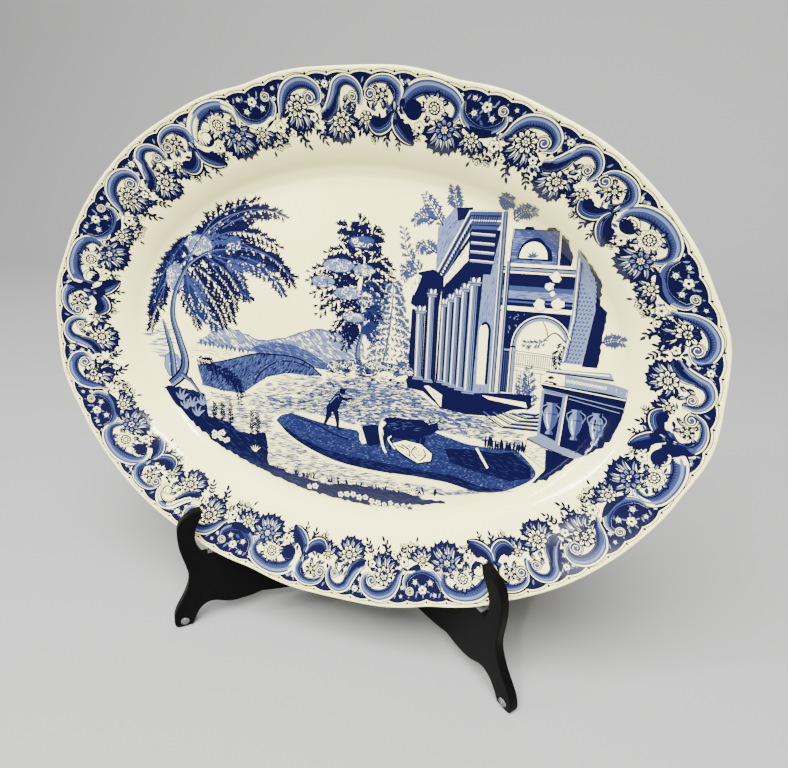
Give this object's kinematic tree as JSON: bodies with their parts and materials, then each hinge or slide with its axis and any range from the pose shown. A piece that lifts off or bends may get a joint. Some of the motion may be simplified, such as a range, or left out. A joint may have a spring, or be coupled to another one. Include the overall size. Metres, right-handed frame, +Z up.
{
  "type": "oval china serving platter on a folding easel",
  "caption": "Oval lobed china serving platter with a sloping printed rim and a deep well, leaning back in a black folding wooden display easel.",
  "frame": {"origin": "centre of the bounding box at table height, under the middle of the platter", "axes": "+X along the platter's length, -Y the side its printed face looks towards, +Z up"},
  "size_m": [0.3988, 0.0955, 0.3432],
  "materials": {
    "glazed_china": "ivory glaze over a blue printed border and scene",
    "painted_wood": "satin black paint",
    "hinge_brass": "dull plated brass",
    "clear_bumper": "clear soft bumper"
  },
  "bodies": {
    "easel_pins": {"lower_pin": "hinge_brass", "upper_pin": "hinge_brass"},
    "easel_left": {"left_side": "painted_wood", "left_lower_leaf": "hinge_brass", "left_upper_leaf": "hinge_brass", "left_screws": "hinge_brass", "left_notch_pad": "clear_bumper", "left_foot_dot": "clear_bumper"},
    "easel_right": {"right_side": "painted_wood", "right_lower_leaf": "hinge_brass", "right_upper_leaf": "hinge_brass", "right_screws": "hinge_brass", "right_notch_pad": "clear_bumper", "right_foot_dot": "clear_bumper"},
    "platter_body": {"platter": "glazed_china"}
  },
  "joints": [
    {"name": "platter_lift", "type": "slide", "parent": "easel_pins", "child": "platter_body", "axis": [0, 0, 1], "range_m": [0, 0.4]},
    {"name": "left_fold", "type": "hinge", "parent": "easel_pins", "child": "easel_left", "pos_m": [0, 0.03945, 0], "axis": [0, 0, 1], "range_deg": [0, 52]},
    {"name": "right_fold", "type": "hinge", "parent": "easel_pins", "child": "easel_right", "pos_m": [0, 0.03945, 0], "axis": [0, 0, 1], "range_deg": [-52, 0]}
  ],
  "couplings": [
    {"joint": "left_fold", "follows": "platter_lift", "rad_per_m": 2.265},
    {"joint": "right_fold", "follows": "platter_lift", "rad_per_m": -2.265}
  ]
}
